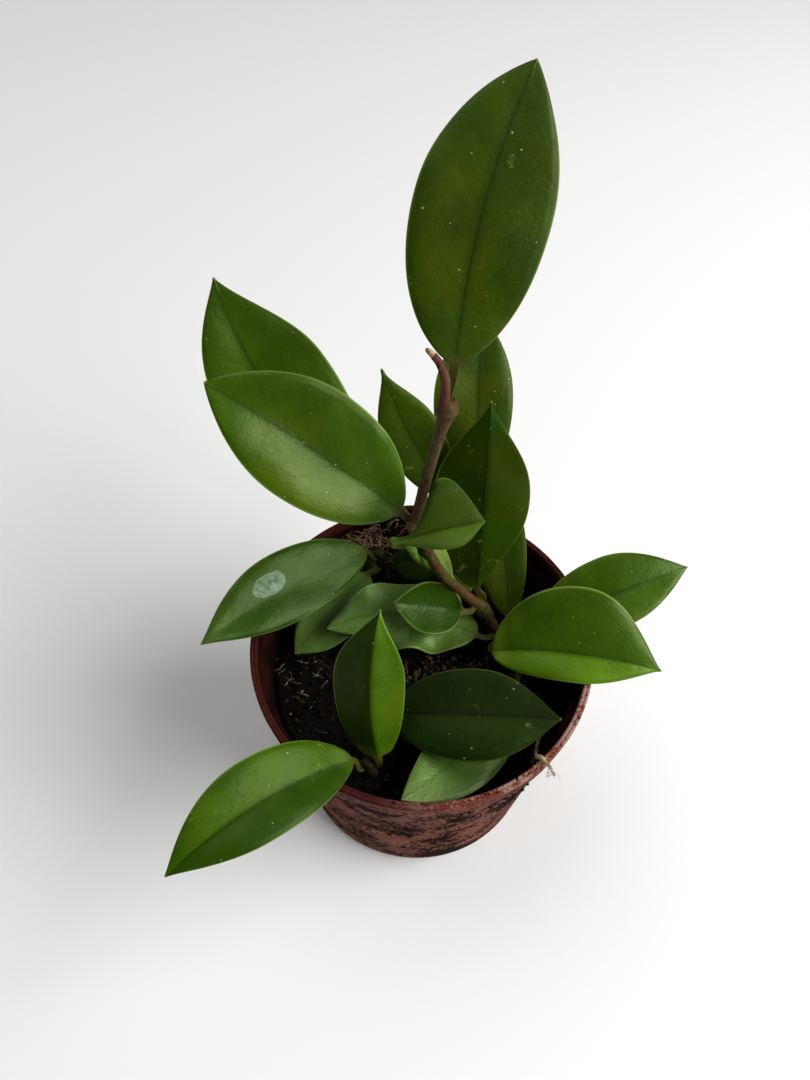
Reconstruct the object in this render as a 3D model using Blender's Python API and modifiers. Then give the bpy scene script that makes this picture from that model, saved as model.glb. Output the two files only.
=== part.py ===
# Potted hoya plant: a nursery pot of soil with rooted stems and thick waxy leaves.
# +Z up. The origin is the centre of the pot's foot, which rests on z = 0.
# The driving sizes below are in millimetres; MM turns them into metres.
import math
from collections import namedtuple

import bpy
import numpy as np
from mathutils import Vector

MM = 0.001
GAP = 0.3                # gap between touching pieces
PETIOLE_GAP = 0.6        # from a stem's side to the square end of a leaf stalk

# Pot
POT_H = 96.0
RIM_R = 60.0
LIP_H = 2.6              # thick lip at the top of the collar
COLLAR_H = 12.0
COLLAR_R = 59.0
WALL = 1.5
TOP_WALL_R = 56.4        # wall just under the collar
FOOT_R = 48.0
FOOT_PAD_R = 15.0        # flat pad in the middle of the underside
CHANNEL_R = 40.0         # raised ring that holds the drain holes
CHANNEL_H = 3.0
DRAIN_R = 4.0
DRAIN_RING_R = 28.0
DRAIN_COUNT = 6
NOTCH_SIZE = (2.6, 5.0, 3.0)
NOTCH_DEPTH = 1.1
NOTCH_ANGLE = 215.0
NOTCH_Z = 89.5
TURNS = 48               # facets around the pot and the soil

# Soil
SOIL_Z = 73.0
SOIL_BUMP = 1.0

# Leaf section
MID_T = 1.3              # thickness at the midrib
EDGE_T = 0.8
PETIOLE_T = 2.2
PETIOLE_HALF_W = 1.2
BLADE_ROWS = 10
PETIOLE_ROWS = 3
BLADE_COLUMNS = 4

# Centre points and radii of the stems, from below the soil upwards.
STEMS = {
    "main_stem": [
        (34, 10, 66, 2.2), (31, 12, 76, 2.3), (26, 15, 83, 2.3), (22, 18, 89, 3.0),
        (17, 18.5, 95, 2.0), (6, 18, 112, 1.9), (-.5, 15.2, 134, 1.9), (-4, 13, 147, 2.5),
        (-3, 12.4, 153, 1.8), (-1, 11, 172, 1.7), (2, 9, 194, 1.7), (3.3, 8, 203, 2.6),
        (3.8, 7.8, 206.5, 2.6)],
    "side_shoot": [
        (18, 24, 91, 1.2), (12, 27, 95, 1.3), (3, 24.5, 105, 1.3), (-3, 15.8, 125, 1.3),
        (-4, 8.5, 139, 1.3), (-5, 2, 150, 1.3), (-6, -1, 157, 1.2)],
    "front_stem": [
        (-15, -38, 64, 1.8), (-16, -40, 74, 1.9), (-17, -41, 82, 2.4), (-17, -41, 87, 2.2)],
    "back_left_stem": [
        (-12, 40, 64, 1.7), (-14, 40.5, 75, 1.8), (-16, 41, 86, 2.2), (-16.5, 41, 91, 2.0)],
    "back_stem": [
        (14, 35, 64, 1.8), (14, 37, 80, 1.9), (13, 41, 100, 1.8), (14, 42, 114, 2.2),
        (14, 42, 118, 2.0)],
    "right_stem": [
        (37, 6, 64, 1.7), (38, 5, 74, 1.8), (38, 3, 83, 2.2), (38, 2.4, 88, 2.0)],
    "dry_root": [
        (43, -25, 75.6, .5), (41, -30, 78, .6), (39, -36, 86, .7), (38, -40.5, 93, .8),
        (39, -43, 97.6, .7), (41, -45.4, 97.8, .6), (43.2, -47.4, 94.5, .4)],
}
ROOTED = ("main_stem", "front_stem", "back_left_stem", "back_stem", "right_stem")

# A leaf leaves its stem at height `leave`; `base` and `tip` end the blade's midrib.
# left and right are the half widths seen from the base with `face` towards the viewer;
# the folds lift each half (degrees), bow arches the midrib along the face, sweep bends
# it to the right, peak above 1 moves the widest place to the tip, taper sharpens the tip.
Leaf = namedtuple("Leaf", "stem leave base tip left right face fold_l fold_r bow sweep peak taper")
LEAVES = {
    "leaf_top": Leaf("main_stem", 203.5, (5, 14, 215), (22, 63, 266), 17.5, 17,
                     (-.1, -.8, .6), 4, 4, 2, -3, 1, 0),
    "leaf_upper_left": Leaf("main_stem", 149, (-9, 14, 153), (-64, 27, 193), 17.5, 19,
                            (.1, -.65, .76), 14, 14, 3, 1, 1, 0),
    "leaf_upper_back_left": Leaf("main_stem", 147, (-18, 30, 149), (-65, 62, 201), 16, 20,
                                 (.2, -.8, .6), 8, 8, 2, -8, 1.1, .3),
    "leaf_shoot_small": Leaf("side_shoot", 155, (-10.5, -3, 160), (16, 0, 167), 15, 6.5,
                             (0, -.5, .85), 0, -35, 2, 0, 1.6, .4),
    "leaf_centre_fold": Leaf("main_stem", 90, (20, 22, 96), (21, 58, 156), 18, 16.5,
                             (-.1, -.85, .5), -6, -14, 2, 0, 1, .6),
    "leaf_centre_right": Leaf("main_stem", 78, (33, 17, 85), (26, 52, 128), 11, 8,
                              (0, -.85, .5), 10, 10, -2, 0, 1, .3),
    "leaf_back_centre": Leaf("back_stem", 113, (9, 46, 120), (-16, 69, 159), 10, 11,
                             (0, -.8, .6), 8, 8, 2, -2, 1, .9),
    "leaf_back_right": Leaf("back_stem", 115, (18, 48, 124), (18, 92, 164), 16, 12,
                            (0, -.8, .6), 8, 8, 2, 0, 1, 0),
    "leaf_node_small": Leaf("main_stem", 92, (14, 13, 94.5), (-10, 12, 100.5), 10, 10,
                            (0, -.5, .85), 22, 22, -1, 0, 1, 0),
    "leaf_new_pale": Leaf("main_stem", 95, (10.5, 22, 102), (0, 26, 128), 2.5, 2.5,
                          (.5, -.75, .4), 8, 8, 1, 0, 1.3, 0),
    "leaf_right_fold": Leaf("main_stem", 79, (26, 0, 90), (81.8, -10.8, 98), 24, 10.5,
                            (-.1, -.5, .85), 12, 26, 5, -2, 1, .4),
    "leaf_right_back": Leaf("right_stem", 85, (42, 9, 93), (92, 22, 113), 14, 12,
                            (-.1, -.4, .9), 10, 10, 5, 0, 1, .2),
    "leaf_mid_wavy": Leaf("main_stem", 80, (20, 9, 84), (-34, 7, 90), 14, 13,
                          (0, -.15, 1), 0, 0, 1, 7, .9, 0),
    "leaf_front_upright": Leaf("front_stem", 85, (-14, -41, 91), (-14, -8, 130), 15, 12.5,
                               (0, -.8, .6), -32, -26, 3, -3, 1, .5),
    "leaf_soil_left": Leaf("back_left_stem", 82, (-21, 35, 83), (-46, 2, 80), 12, 10,
                           (0, -.1, 1), 6, 6, 1, 0, 1, 0),
    "leaf_soil_back": Leaf("back_left_stem", 78, (-20, 43, 77.5), (-37, 33, 78.5), 4, 5,
                           (0, -.1, 1), 4, 4, 0, 0, 1, 0),
    "leaf_left": Leaf("back_left_stem", 88, (-22, 38, 94), (-75, -8, 104), 12, 14,
                      (.1, -.5, .85), 12, 12, 3, 2, 1, .3),
    "leaf_front_right": Leaf("front_stem", 80, (-10, -24, 88), (46, -30, 99), 15.5, 15.5,
                             (0, -.3, .95), 5, 5, 3, 0, 1, .2),
    "leaf_front_rim": Leaf("right_stem", 79, (33, -10, 78), (-6, -54, 87), 13, 11,
                           (0, -.3, .95), 3, 3, 0, -3, 1, 0),
    "leaf_front_left": Leaf("front_stem", 83, (-23, -44, 94), (-74, -84, 104), 12.3, 14,
                            (.1, -.4, .9), 26, 8, 8, 4, 1, .2),
    "leaf_back_dark": Leaf("back_left_stem", 85, (-11, 39, 88), (10, 31, 98), 7, 7,
                           (0, -.5, .85), 4, 4, 1, 0, 1, 0),
}

Finish = namedtuple("Finish", "color roughness")
FINISHES = {
    "pot_plastic": Finish((.16, .05, .035), .55),
    "soil": Finish((.02, .013, .009), .95),
    "stem_bark": Finish((.09, .035, .02), .6),
    "green_shoot": Finish((.12, .28, .03), .4),
    "leaf_green": Finish((.05, .16, .015), .3),
    "dry_root": Finish((.45, .32, .2), .8),
}
STEM_FINISH = {"side_shoot": "green_shoot", "dry_root": "dry_root"}


def clear_scene():
    for ob in list(bpy.data.objects):
        bpy.data.objects.remove(ob, do_unlink=True)


def new_collection(name):
    col = bpy.data.collections.new(name)
    bpy.context.scene.collection.children.link(col)
    return col


def finish(ob, name):
    mat = bpy.data.materials.new(f"{name}_{ob.name}")
    mat.use_nodes = True
    shader = mat.node_tree.nodes["Principled BSDF"]
    shader.inputs["Base Color"].default_value = (*FINISHES[name].color, 1)
    shader.inputs["Roughness"].default_value = FINISHES[name].roughness
    ob.data.materials.clear()
    ob.data.materials.append(mat)


def move_to(ob, col):
    for c in list(ob.users_collection):
        c.objects.unlink(ob)
    col.objects.link(ob)


def bake(ob):
    """Apply an object's modifiers."""
    bpy.context.view_layer.update()
    dep = bpy.context.evaluated_depsgraph_get()
    me = bpy.data.meshes.new_from_object(ob.evaluated_get(dep))
    ob.modifiers.clear()
    ob.data = me


def turned(name, profile, col):
    """A solid of revolution: the (r, z) profile runs down the outside, axis to axis."""
    me = bpy.data.meshes.new(name)
    me.from_pydata([(r * MM, 0, z * MM) for r, z in profile],
                   [(i, i + 1) for i in range(len(profile) - 1)], [])
    ob = bpy.data.objects.new(name, me)
    col.objects.link(ob)
    mod = ob.modifiers.new("turn", "SCREW")
    mod.steps = mod.render_steps = TURNS
    mod.use_merge_vertices = True
    mod.merge_threshold = 0.00002
    bake(ob)
    return ob


def cut(ob, tools):
    for tool in tools:
        mod = ob.modifiers.new("cut", "BOOLEAN")
        mod.operation, mod.object = "DIFFERENCE", tool
    bake(ob)
    for tool in tools:
        tool.hide_render = True
        tool.display_type = "WIRE"


def collar_inner_r(z):
    """Radius of the collar's inner wall at a height."""
    low, high = POT_H - COLLAR_H + 2.9, POT_H - .5
    return COLLAR_R - WALL - .1 + (z - low) / (high - low) * .2


def pot_profile():
    collar_z = POT_H - COLLAR_H
    floor = CHANNEL_H + WALL
    outside = [(RIM_R - 1.9, POT_H), (RIM_R - 1.2, POT_H - .25), (RIM_R - .5, POT_H),
               (RIM_R, POT_H - .5), (RIM_R, POT_H - LIP_H + .6), (COLLAR_R + .3, POT_H - LIP_H),
               (COLLAR_R - .1, collar_z + 1.4), (TOP_WALL_R, collar_z),
               (FOOT_R, 1), (FOOT_R - 1, 0)]
    under = [(CHANNEL_R + 1.5, 0), (CHANNEL_R, CHANNEL_H), (FOOT_PAD_R, CHANNEL_H),
             (FOOT_PAD_R - 1.5, 0), (0, 0)]
    inside = [(0, WALL), (FOOT_PAD_R - 1.6, WALL), (FOOT_PAD_R + 1, floor),
              (FOOT_R - WALL - .4, floor), (FOOT_R - WALL + 1, floor + 1),
              (TOP_WALL_R - WALL, collar_z + 1.5), (collar_inner_r(collar_z + 2.9), collar_z + 2.9),
              (collar_inner_r(POT_H - .5), POT_H - .5)]
    return inside + outside + under


def build_pot(col, cutters):
    pot = turned("pot", pot_profile(), col)
    tools = []
    for k in range(DRAIN_COUNT):
        turn = 2 * math.pi * (k + .53) / DRAIN_COUNT
        bpy.ops.mesh.primitive_cylinder_add(
            vertices=14, radius=DRAIN_R * MM, depth=10 * MM, rotation=(0, 0, turn + .1),
            location=Vector((math.cos(turn), math.sin(turn), 0)) * DRAIN_RING_R * MM
            + Vector((0, 0, 4 * MM)))
        tools.append(bpy.context.object)
    turn = math.radians(NOTCH_ANGLE)
    reach = collar_inner_r(NOTCH_Z) + NOTCH_DEPTH - NOTCH_SIZE[0] / 2
    bpy.ops.mesh.primitive_cube_add(
        size=MM, rotation=(0, 0, turn),
        location=(reach * MM * math.cos(turn), reach * MM * math.sin(turn), NOTCH_Z * MM))
    bpy.context.object.scale = NOTCH_SIZE
    tools.append(bpy.context.object)
    for k, tool in enumerate(tools):
        tool.name = f"cutter_pot_{k}"
        move_to(tool, cutters)
    cut(pot, tools)
    finish(pot, "pot_plastic")


def soil_height(x, y):
    waves = math.sin(x * .31 + 1.3) * math.cos(y * .27 - .4) + .6 * math.sin(x * .11 - y * .53)
    return SOIL_Z + SOIL_BUMP * waves + .02 * y


def build_soil(col, cutters):
    floor = CHANNEL_H + WALL + GAP
    foot = FOOT_R - WALL + 1 - GAP
    rise = (SOIL_Z - 2 - floor) / (POT_H - COLLAR_H + 1.5 - CHANNEL_H - WALL - 1)
    top = foot + (TOP_WALL_R - FOOT_R - 1) * rise - GAP
    rings = np.linspace(49, 7, 8)
    profile = [(0, SOIL_Z)] + [(r, SOIL_Z) for r in rings[::-1]]
    profile += [(top, SOIL_Z - 2), (foot, floor + 1.1), (foot - 1.4, floor),
                (FOOT_PAD_R + .6, floor), (FOOT_PAD_R - 2.2, WALL + GAP), (0, WALL + GAP)]
    soil = turned("soil", profile, col)
    for v in soil.data.vertices:
        if v.co.z > (SOIL_Z - .1) * MM:
            v.co.z = soil_height(v.co.x / MM, v.co.y / MM) * MM
    tools = [tube(f"cutter_{name}", STEMS[name], cutters, GAP) for name in ROOTED]
    cut(soil, tools)
    finish(soil, "soil")


def spline(points, steps):
    """A smooth curve through points: `steps` pieces between each pair."""
    p = np.asarray(points, float)
    p = np.vstack([2 * p[0] - p[1], p, 2 * p[-1] - p[-2]])
    out = []
    for i in range(1, len(p) - 2):
        for u in np.arange(steps) / steps:
            out.append(.5 * (2 * p[i] + (p[i + 1] - p[i - 1]) * u
                             + (2 * p[i - 1] - 5 * p[i] + 4 * p[i + 1] - p[i + 2]) * u ** 2
                             + (3 * p[i] - p[i - 1] - 3 * p[i + 1] + p[i + 2]) * u ** 3))
    out.append(p[-2])
    return np.array(out)


def tube(name, points, col, grow=0.0):
    """A closed tube of changing radius along a smooth route, as a mesh."""
    path = spline(points, 2)
    if grow:
        path[0, 2] -= grow
        path[-1, 2] += grow
    curve = bpy.data.curves.new(name, "CURVE")
    curve.dimensions = "3D"
    curve.bevel_depth = MM
    curve.bevel_resolution = 2
    curve.use_fill_caps = True
    line = curve.splines.new("POLY")
    line.points.add(len(path) - 1)
    for point, (x, y, z, r) in zip(line.points, path):
        point.co = (x * MM, y * MM, z * MM, 1)
        point.radius = r + grow
    guide = bpy.data.objects.new(f"{name}_route", curve)
    col.objects.link(guide)
    bpy.context.view_layer.update()
    dep = bpy.context.evaluated_depsgraph_get()
    ob = bpy.data.objects.new(name, bpy.data.meshes.new_from_object(guide.evaluated_get(dep)))
    col.objects.link(ob)
    bpy.data.objects.remove(guide, do_unlink=True)
    weld = ob.modifiers.new("weld", "WELD")
    weld.merge_threshold = 0.00001
    bake(ob)
    return ob


def unit(v):
    v = np.asarray(v, float)
    return v / np.linalg.norm(v)


def stem_at(stem, z):
    """Centre, radius and direction of a stem at a height."""
    path = spline(STEMS[stem], 24)
    k = int(np.clip(np.argmin(np.abs(path[:, 2] - z)), 1, len(path) - 2))
    return path[k, :3], path[k, 3], unit(path[k + 1, :3] - path[k - 1, :3])


def hermite(a, b, da, db, u):
    return ((2 * u ** 3 - 3 * u ** 2 + 1) * a + (u ** 3 - 2 * u ** 2 + u) * da
            + (3 * u ** 2 - 2 * u ** 3) * b + (u ** 3 - u ** 2) * db)


def blade_width(s, leaf):
    """Share of the half width at s, from 0 at the blade's base to 1 at its tip."""
    s = s ** leaf.peak
    round_base = (1 - (1 - min(s / .5, 1)) ** 2.2) ** .62
    pointed_tip = (1 - max((s - .5) / .5, 0) ** 2.1) ** .95
    return (round_base * pointed_tip) ** (1 + leaf.taper * s)


def leaf_rows(leaf):
    """Rows along the leaf: midrib point, side, normal, half width and blade position."""
    base, tip = np.array(leaf.base, float), np.array(leaf.tip, float)
    centre, radius, axis = stem_at(leaf.stem, leaf.leave)
    out = base - centre
    out = unit(out - axis * (out @ axis))
    start = centre + out * (radius + PETIOLE_GAP)
    chord = tip - base
    face = unit(np.array(leaf.face) - unit(chord) * (np.array(leaf.face) @ unit(chord)))
    across = np.cross(unit(chord), face)
    arch = 4 * (face * leaf.bow + across * leaf.sweep)
    reach = np.linalg.norm(base - start)
    rows = []
    for u in np.arange(PETIOLE_ROWS) / PETIOLE_ROWS:
        p = hermite(start, base, out * reach, unit(chord + arch) * reach, u)
        q = hermite(start, base, out * reach, unit(chord + arch) * reach, u + .01)
        rows.append((p, unit(q - p), -1))
    for k in range(BLADE_ROWS + 1):
        s = (1 - math.cos(math.pi * k / BLADE_ROWS)) / 2
        p = base + chord * s + arch * s * (1 - s)
        rows.append((p, unit(chord + arch * (1 - 2 * s)), s))
    full = []
    for p, t, s in rows:
        normal = unit(face - t * (face @ t))
        full.append((p, np.cross(t, normal), normal, s))
    return full


def build_leaf(name, leaf, col):
    """A grid laid along the leaf's midrib, thickened from its middle surface."""
    rows = leaf_rows(leaf)
    bpy.ops.mesh.primitive_grid_add(x_subdivisions=BLADE_COLUMNS, y_subdivisions=len(rows) - 1,
                                    size=2)
    ob = bpy.context.object
    ob.name = name
    move_to(ob, col)
    group = ob.vertex_groups.new(name="thickness")
    for v in ob.data.vertices:
        x = v.co.x
        p, side, normal, s = rows[round((v.co.y + 1) / 2 * (len(rows) - 1))]
        if s <= 0:
            half, lift, thick = PETIOLE_HALF_W, 0, PETIOLE_T
        else:
            half = max((leaf.left if x < 0 else leaf.right) * blade_width(s, leaf), .6)
            lift = math.radians(leaf.fold_l if x < 0 else leaf.fold_r)
            thick = MID_T + (EDGE_T - MID_T) * abs(x)
        v.co = Vector((p + side * x * half * math.cos(lift)
                       + normal * abs(x) * half * math.sin(lift)) * MM)
        group.add([v.index], thick / PETIOLE_T, "REPLACE")
    mod = ob.modifiers.new("thickness", "SOLIDIFY")
    mod.thickness = PETIOLE_T * MM
    mod.offset = 0
    mod.vertex_group = group.name
    finish(ob, "leaf_green")


def main():
    clear_scene()
    plant = new_collection("potted_hoya_plant")
    cutters = new_collection("cutters")
    build_pot(plant, cutters)
    build_soil(plant, cutters)
    for name, points in STEMS.items():
        stem = tube(name, points, plant)
        finish(stem, STEM_FINISH.get(name, "stem_bark"))
    for name, leaf in LEAVES.items():
        build_leaf(name, leaf, plant)


main()
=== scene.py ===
import math
import random
from collections import namedtuple

import bpy
import numpy as np
from mathutils import Euler, Matrix, Vector, noise


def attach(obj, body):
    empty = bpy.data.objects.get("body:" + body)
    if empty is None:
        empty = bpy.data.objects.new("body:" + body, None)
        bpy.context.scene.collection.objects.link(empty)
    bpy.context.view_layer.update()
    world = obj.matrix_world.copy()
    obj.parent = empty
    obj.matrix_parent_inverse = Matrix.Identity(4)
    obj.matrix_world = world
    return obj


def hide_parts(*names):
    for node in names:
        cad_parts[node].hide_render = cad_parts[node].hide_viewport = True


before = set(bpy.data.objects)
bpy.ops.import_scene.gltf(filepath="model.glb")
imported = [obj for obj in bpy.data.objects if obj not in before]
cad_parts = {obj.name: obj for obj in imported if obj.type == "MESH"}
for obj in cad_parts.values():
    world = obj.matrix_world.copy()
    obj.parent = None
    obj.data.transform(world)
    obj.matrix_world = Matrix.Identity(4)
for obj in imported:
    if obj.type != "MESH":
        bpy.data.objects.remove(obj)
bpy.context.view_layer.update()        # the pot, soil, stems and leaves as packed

MM = 0.001               # every length below is in millimetres
rng = random.Random(12)

CAMERA_PLACE = (-6.7, -153.3, 374.1)
CAMERA_TILT = 35.2       # degrees up from straight down
CAMERA_ROLL = 1.3


# -------------------- stage

def build_camera():
    """Looks steeply down on the plant from just in front of the pot."""
    cam = bpy.data.objects.new("camera", bpy.data.cameras.new("camera"))
    bpy.context.scene.collection.objects.link(cam)
    cam.data.lens = 30.0
    cam.data.sensor_width = 36.0
    cam.location = Vector(CAMERA_PLACE) * MM
    cam.data.clip_start = 0.01
    tilt = Euler((math.radians(CAMERA_TILT), 0, 0)).to_matrix()
    roll = Matrix.Rotation(math.radians(CAMERA_ROLL), 3, "Z")
    cam.rotation_euler = (tilt @ roll).to_euler()
    bpy.context.scene.camera = cam


def area_light(name, place, aim, size, power):
    """A soft rectangular lamp at a place in metres, turned towards its aim."""
    data = bpy.data.lights.new(name, "AREA")
    data.shape = "RECTANGLE"
    data.size, data.size_y = size
    data.energy = power
    lamp = bpy.data.objects.new(name, data)
    bpy.context.scene.collection.objects.link(lamp)
    lamp.location = place
    lamp.rotation_euler = (Vector(aim) - Vector(place)).to_track_quat("-Z", "Y").to_euler()


def build_stage():
    """A dim room, a bright window at the right, two soft lamps and a pale floor."""
    world = bpy.data.worlds.new("studio")
    world.use_nodes = True
    sky = world.node_tree.nodes["Background"]
    sky.inputs["Color"].default_value = (.95, .98, 1, 1)
    sky.inputs["Strength"].default_value = .10
    bpy.context.scene.world = world
    bpy.context.scene.view_settings.view_transform = "Standard"
    area_light("window", (1.02, -.22, .96), (0, 0, .12), (1.2, 1.0), 28)
    area_light("fill", (-1.2, .5, .35), (0, 0, .1), (1.0, .5), 1.8)
    area_light("overhead", (-.5, .5, 1.5), (0, 0, .1), (1.2, 1.2), 8)
    bpy.ops.mesh.primitive_plane_add(size=4, location=(0, 0, -.0002))
    floor = bpy.context.object
    floor.name = "floor"
    mat = bpy.data.materials.new("pale_floor")
    mat.use_nodes = True
    shader = mat.node_tree.nodes["Principled BSDF"]
    shader.inputs["Base Color"].default_value = (.86, .86, .85, 1)
    shader.inputs["Roughness"].default_value = .8
    floor.data.materials.append(mat)


# -------------------- node helpers

def rgba(r, g, b):
    """A colour given as on screen, 0 to 255, for a shader."""
    def linear(c):
        c /= 255
        return c / 12.92 if c <= .04045 else ((c + .055) / 1.055) ** 2.4
    return (linear(r), linear(g), linear(b), 1.0)


class Graph:
    """Adds nodes to one material or group tree, with inputs given by name."""

    def __init__(self, tree):
        self.tree = tree

    def add(self, kind, out=0, props=None, **inputs):
        node = self.tree.nodes.new("ShaderNode" + kind)
        for key, value in (props or {}).items():
            setattr(node, key, value)
        for key, value in inputs.items():
            slot = int(key[1:]) if key[0] == "i" and key[1:].isdigit() else key.replace("_", " ")
            self.plug(node.inputs[slot], value)
        return node.outputs[out]

    def plug(self, socket, value):
        if isinstance(value, bpy.types.NodeSocket):
            self.tree.links.new(value, socket)
        else:
            socket.default_value = value

    def math(self, op, a, b=0.0, clamp=False):
        return self.add("Math", props={"operation": op, "use_clamp": clamp}, i0=a, i1=b)

    def times(self, a, b):
        return self.math("MULTIPLY", a, b)

    def plus(self, a, b, clamp=False):
        return self.math("ADD", a, b, clamp)

    def minus(self, a, b):
        return self.math("SUBTRACT", a, b)

    def step(self, value, low, high):
        """0 below low, 1 above high, smooth between."""
        return self.add("MapRange", props={"interpolation_type": "SMOOTHSTEP"}, Value=value,
                        From_Min=low, From_Max=high)

    def mix(self, fac, a, b):
        """Colour a where fac is 0 and colour b where it is 1; a plain one is 0 to 255."""
        node = self.tree.nodes.new("ShaderNodeMix")
        node.data_type = "RGBA"
        self.plug(node.inputs[0], fac)
        for socket, color in ((node.inputs[6], a), (node.inputs[7], b)):
            self.plug(socket, rgba(*color) if isinstance(color, tuple) else color)
        return node.outputs[2]

    def noise(self, where, scale, detail=3.0, rough=.55):
        return self.add("TexNoise", Vector=where, Scale=scale, Detail=detail, Roughness=rough)


def new_group(name, ins, outs):
    """An empty node group with named inputs (name, kind, value) and outputs (name, kind)."""
    group = bpy.data.node_groups.new(name, "ShaderNodeTree")
    for key, kind, value in ins:
        sock = group.interface.new_socket(key, in_out="INPUT", socket_type="NodeSocket" + kind)
        if value is not None:
            sock.default_value = value
    for key, kind in outs:
        group.interface.new_socket(key, in_out="OUTPUT", socket_type="NodeSocket" + kind)
    gin = group.nodes.new("NodeGroupInput")
    gout = group.nodes.new("NodeGroupOutput")
    return group, Graph(group), gin.outputs, gout.inputs


def group_mask(g, group, **inputs):
    """Places a mask group in a material, with its own values."""
    node = g.tree.nodes.new("ShaderNodeGroup")
    node.node_tree = group
    for key, value in inputs.items():
        g.plug(node.inputs[key], value)
    return node.outputs["Mask"]


def flecks_group():
    """Scattered specks: a few cells in every hundred hold one, of uneven size."""
    group, g, ins, outs = new_group(
        "flecks", [("Vector", "Vector", None), ("Scale", "Float", 400.0), ("Size", "Float", .2),
                   ("Share", "Float", .1)], [("Mask", "Float")])
    cell = g.tree.nodes.new("ShaderNodeTexVoronoi")
    g.plug(cell.inputs["Vector"], ins["Vector"])
    g.plug(cell.inputs["Scale"], ins["Scale"])
    pick = g.add("SeparateColor", Color=cell.outputs["Color"])
    chosen = g.math("LESS_THAN", pick, ins["Share"])
    size = g.times(ins["Size"], g.plus(g.times(pick, 4.0), .5))
    dot = g.math("LESS_THAN", cell.outputs["Distance"], size)
    g.plug(outs["Mask"], g.times(chosen, dot))
    return group


def patches_group():
    """Ragged patches: large noise broken up by small noise."""
    group, g, ins, outs = new_group(
        "patches", [("Vector", "Vector", None), ("Scale", "Float", 40.0), ("Level", "Float", .5),
                    ("Edge", "Float", .05), ("Grain", "Float", .3)], [("Mask", "Float")])
    big = g.noise(ins["Vector"], ins["Scale"], 4, .6)
    small = g.noise(ins["Vector"], g.times(ins["Scale"], 9.0), 3, .6)
    both = g.plus(big, g.times(g.minus(small, .5), ins["Grain"]))
    g.plug(outs["Mask"], g.add("MapRange", Value=both,
                               From_Min=g.minus(ins["Level"], ins["Edge"]),
                               From_Max=g.plus(ins["Level"], ins["Edge"])))
    return group


SCAR_ALONG, SCAR_LENGTH = .57, .085        # middle and half size, as shares of the blade
SCAR_ACROSS, SCAR_WIDTH = .34, .27


def scar_group():
    """An old oval scar on a blade, placed along and across it."""
    group, g, ins, outs = new_group(
        "scar", [("Vector", "Vector", None), ("Along", "Float", 0.0), ("Across", "Float", 0.0)],
        [("Mask", "Float")])
    shake = g.times(g.minus(g.noise(ins["Vector"], 200, 2), .5), .5)
    u = g.math("DIVIDE", g.minus(ins["Along"], SCAR_ALONG), SCAR_LENGTH)
    v = g.math("DIVIDE", g.minus(ins["Across"], SCAR_ACROSS), SCAR_WIDTH)
    far = g.math("SQRT", g.plus(g.times(u, u), g.times(v, v)))
    g.plug(outs["Mask"], g.step(g.plus(far, shake), 1.12, .82))
    return group


FLECKS = flecks_group()
PATCHES = patches_group()
SCAR = scar_group()


def new_material(name):
    """A material with its node graph, its shader and the place on the object."""
    mat = bpy.data.materials.new(name)
    mat.use_nodes = True
    shader = mat.node_tree.nodes["Principled BSDF"]
    g = Graph(mat.node_tree)
    where = g.add("TexCoord", out="Object")
    return mat, g, shader, where


def finish_material(g, shader, color, rough, relief, strength, distance):
    """Colour, roughness and relief of a surface; distance is the relief's depth in metres."""
    g.plug(shader.inputs["Base Color"], color)
    g.plug(shader.inputs["Roughness"], rough)
    bump = g.add("Bump", Height=relief, Strength=strength, Distance=distance)
    g.plug(shader.inputs["Normal"], bump)


# -------------------- materials

# Leaf greens: gloss is the roughness, sheen the strength of the shine, and shade darkens
# the half of the blade that turns away from the window.
Tone = namedtuple("Tone", "dark light sallow edge vein gloss sheen shade", defaults=[0])
TONES = {
    "old": Tone((36, 54, 0), (50, 72, 0), (68, 76, 0), (92, 112, 26), (24, 40, 0), .42, .24),
    "mature": Tone((46, 72, 0), (62, 92, 4), (78, 94, 0), (112, 142, 50), (32, 54, 2), .36, .36),
    "bright": Tone((64, 94, 2), (86, 122, 10), (96, 120, 4), (128, 156, 60), (32, 54, 2),
                   .36, .28, .6),
    "folded": Tone((46, 74, 0), (64, 96, 4), (78, 96, 0), (112, 142, 50), (14, 30, 0),
                   .42, .2, .75),
    "drooping": Tone((40, 68, 0), (60, 92, 6), (70, 92, 2), (112, 142, 50), (20, 40, 0),
                     .4, .2, .55),
    # Painted shade: these greens are darker than the leaf's own colour, for a leaf lying in shade,
    # and one half is darkened further.
    "creased_shaded": Tone((30, 48, 0), (40, 62, 0), (48, 60, 0), (88, 108, 26), (12, 26, 0),
                    .48, .1, .4),
    "shaded": Tone((14, 30, 0), (28, 48, 4), (34, 46, 2), (66, 90, 30), (4, 12, 0), .46, .14, .45),
    "deep": Tone((34, 58, 2), (50, 80, 8), (62, 78, 2), (108, 136, 54), (26, 46, 2), .38, .3),
    "young": Tone((54, 78, 8), (74, 100, 20), (76, 96, 14), (106, 128, 50), (26, 38, 0),
                  .44, .2, .55),
    "dull": Tone((64, 90, 32), (88, 116, 50), (88, 108, 40), (128, 150, 86), (50, 74, 22),
                 .36, .4),
    "pale": Tone((88, 112, 44), (110, 132, 64), (118, 132, 60), (142, 158, 90), (88, 112, 44),
                 .45, .3),
}


def blade_attributes(g):
    """Along the leaf (-1 to 0 on the stalk, 0 to 1 on the blade), across it, and |across|."""
    along = g.add("Attribute", out="Fac", props={"attribute_name": "along"})
    across = g.add("Attribute", out="Fac", props={"attribute_name": "across"})
    return along, across, g.math("ABSOLUTE", across)


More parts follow.
